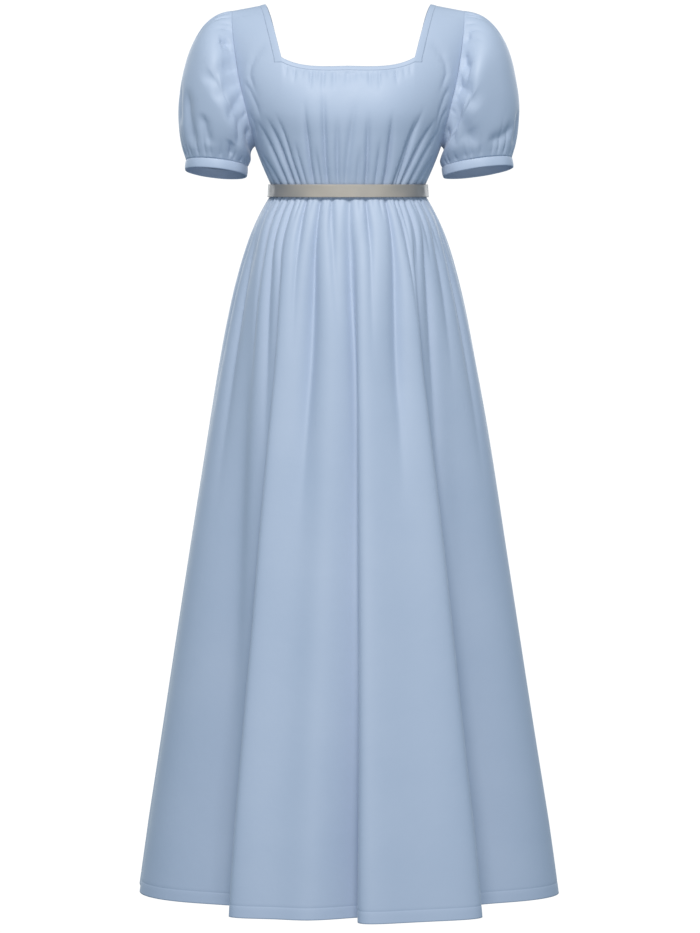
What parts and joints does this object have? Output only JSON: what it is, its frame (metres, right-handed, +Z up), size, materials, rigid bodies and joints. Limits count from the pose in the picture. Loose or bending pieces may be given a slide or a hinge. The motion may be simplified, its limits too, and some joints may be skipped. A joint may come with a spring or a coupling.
{
  "type": "regency gown",
  "caption": "Floor-length empire-waist gown with a square neck, short puff sleeves on narrow cuffs, a satin ribbon under the bust and a gathered skirt.",
  "frame": {"origin": "on the line of the shoulder seams, midway between the two straps, where a wearer's shoulders carry the gown", "axes": "+Z up along the gown, +X towards the wearer's left, -Y out of the front"},
  "size_m": [0.6744, 0.6069, 1.4121],
  "materials": {
    "gown_cloth": "pale blue cotton sateen, soft sheen",
    "ribbon": "taupe satin ribbon"
  },
  "bodies": {
    "root": {"bodice_front": "gown_cloth", "bodice_back": "gown_cloth", "neck_binding": "gown_cloth", "waist_ribbon": "ribbon", "skirt_front": "gown_cloth", "skirt_back": "gown_cloth", "sleeve_left": "gown_cloth", "sleeve_right": "gown_cloth", "cuff_left": "gown_cloth", "cuff_right": "gown_cloth"}
  },
  "joints": []
}
